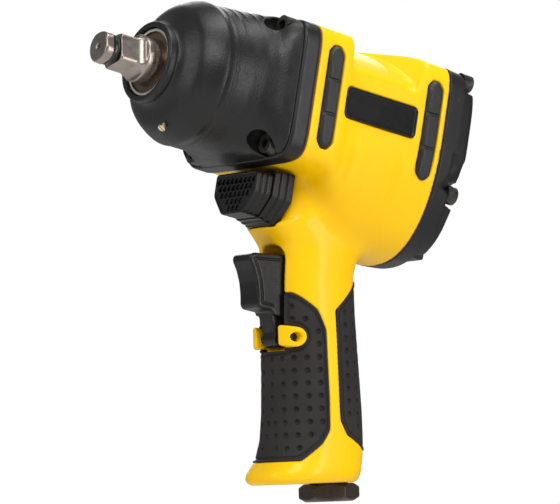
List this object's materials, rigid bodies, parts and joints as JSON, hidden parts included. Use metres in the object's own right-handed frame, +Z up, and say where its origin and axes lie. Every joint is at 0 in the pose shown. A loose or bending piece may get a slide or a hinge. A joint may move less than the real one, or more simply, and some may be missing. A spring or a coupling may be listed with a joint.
{
  "type": "impact wrench",
  "caption": "Pneumatic impact wrench with a pistol grip, square drive anvil, twin hammer mechanism, vane air motor, trigger and reverse lever.",
  "frame": {"origin": "centre of the square drive's front face, on the barrel's axis", "axes": "+X along the barrel out of the nose, +Y to the tool's left, +Z up, handle down"},
  "size_m": [0.173, 0.0786, 0.1969],
  "materials": {
    "drive_steel": "warm ground and oiled impact steel, satin",
    "case_bushing": "turned steel nose ring and bushing",
    "black_case": "satin black coated aluminium",
    "boot_rubber": "satin black moulded boot",
    "housing_yellow": "glossy yellow moulded composite",
    "black_cover": "satin black moulded cover",
    "grip_rubber": "matt dark grey overmoulded rubber with dimples",
    "trigger_black": "satin black moulded nylon",
    "label_gloss": "gloss black blank plate",
    "black_screw": "black oxide socket screws",
    "brass": "plain brass",
    "bronze_nut": "dark bronze burnished steel",
    "seal_rubber": "black nitrile",
    "gasket_paper": "pressed fibre gasket",
    "hardened_steel": "hardened and ground steel",
    "motor_steel": "ground motor steel",
    "vane_resin": "phenolic laminate",
    "spring_steel": "spring wire",
    "muffler_felt": "sintered muffler pad",
    "ring_steel": "polished spring ring"
  },
  "bodies": {
    "housing": {"anvil_bushing": "case_bushing", "hammer_case": "black_case", "nose_boot": "boot_rubber", "grease_screw": "brass", "case_screws": "black_screw", "case_gasket": "gasket_paper", "motor_cylinder": "motor_steel", "front_end_plate": "motor_steel", "rear_end_plate": "motor_steel", "front_bearing": "motor_steel", "rear_bearing": "motor_steel", "cylinder_dowel": "hardened_steel", "motor_housing": "housing_yellow", "rear_cover": "black_cover", "rear_gasket": "gasket_paper", "rear_screws": "black_screw", "left_front_bumper": "grip_rubber", "right_front_bumper": "grip_rubber", "left_rear_bumper": "grip_rubber", "right_rear_bumper": "grip_rubber", "left_label_plate": "label_gloss", "right_label_plate": "label_gloss", "front_grip": "grip_rubber", "rear_grip": "grip_rubber", "reverse_bezel": "trigger_black", "reverse_bushing": "brass", "detent_ball": "hardened_steel", "detent_spring": "spring_steel", "trigger_pin": "hardened_steel", "plunger_bushing": "brass", "valve_seat": "brass", "throttle_spring": "spring_steel", "inlet_bushing": "bronze_nut", "inlet_screen": "brass", "inlet_o_ring": "seal_rubber", "exhaust_muffler": "muffler_felt", "exhaust_deflector": "trigger_black"},
    "anvil_shaft": {"anvil": "drive_steel", "socket_retainer_ring": "ring_steel", "socket_retainer_o_ring": "seal_rubber"},
    "rotor_assembly": {"rotor": "motor_steel", "rotor_vanes": "vane_resin", "hammer_frame": "hardened_steel", "hammer_pins": "hardened_steel"},
    "front_hammer": {"hammer_front": "hardened_steel"},
    "rear_hammer": {"hammer_rear": "hardened_steel"},
    "trigger_lever": {"trigger": "trigger_black"},
    "plunger": {"throttle_plunger": "hardened_steel"},
    "tilt_valve": {"throttle_valve": "brass"},
    "reverse_switch": {"reverse_lever": "trigger_black", "reverse_valve": "brass"}
  },
  "joints": [
    {"name": "rotor_spin", "type": "hinge", "parent": "housing", "child": "rotor_assembly", "pos_m": [-0.12, 0, 0], "axis": [1, 0, 0], "continuous": true},
    {"name": "anvil_spin", "type": "hinge", "parent": "housing", "child": "anvil_shaft", "pos_m": [-0.04, 0, 0], "axis": [1, 0, 0], "continuous": true},
    {"name": "front_hammer_rock", "type": "hinge", "parent": "rotor_assembly", "child": "front_hammer", "pos_m": [-0.0608, 0, 0.021], "axis": [1, 0, 0], "range_deg": [-5, 5]},
    {"name": "rear_hammer_rock", "type": "hinge", "parent": "rotor_assembly", "child": "rear_hammer", "pos_m": [-0.0744, 0, -0.021], "axis": [1, 0, 0], "range_deg": [-5, 5]},
    {"name": "trigger_pull", "type": "hinge", "parent": "housing", "child": "trigger_lever", "pos_m": [-0.112, 0, -0.1], "axis": [0, -1, 0], "range_deg": [0, 8], "stiffness_Nm_per_rad": 1.2, "springref_deg": -8.59},
    {"name": "plunger_push", "type": "slide", "parent": "housing", "child": "plunger", "axis": [-1, 0, 0], "range_m": [0, 0.0035]},
    {"name": "valve_tilt", "type": "hinge", "parent": "housing", "child": "tilt_valve", "pos_m": [-0.1301, 0, -0.09516], "axis": [0, -1, 0], "range_deg": [0, 10.8], "deforming": ["throttle_spring"]},
    {"name": "reverse_rock", "type": "hinge", "parent": "housing", "child": "reverse_switch", "pos_m": [-0.095, 0, -0.043], "axis": [1, 0, 0], "range_deg": [-12, 12]}
  ],
  "couplings": [
    {"joint": "anvil_spin", "follows": "rotor_spin", "ratio": 1},
    {"joint": "plunger_push", "follows": "trigger_pull", "m_per_rad": 0.0245},
    {"joint": "valve_tilt", "follows": "trigger_pull", "ratio": 1.33}
  ]
}
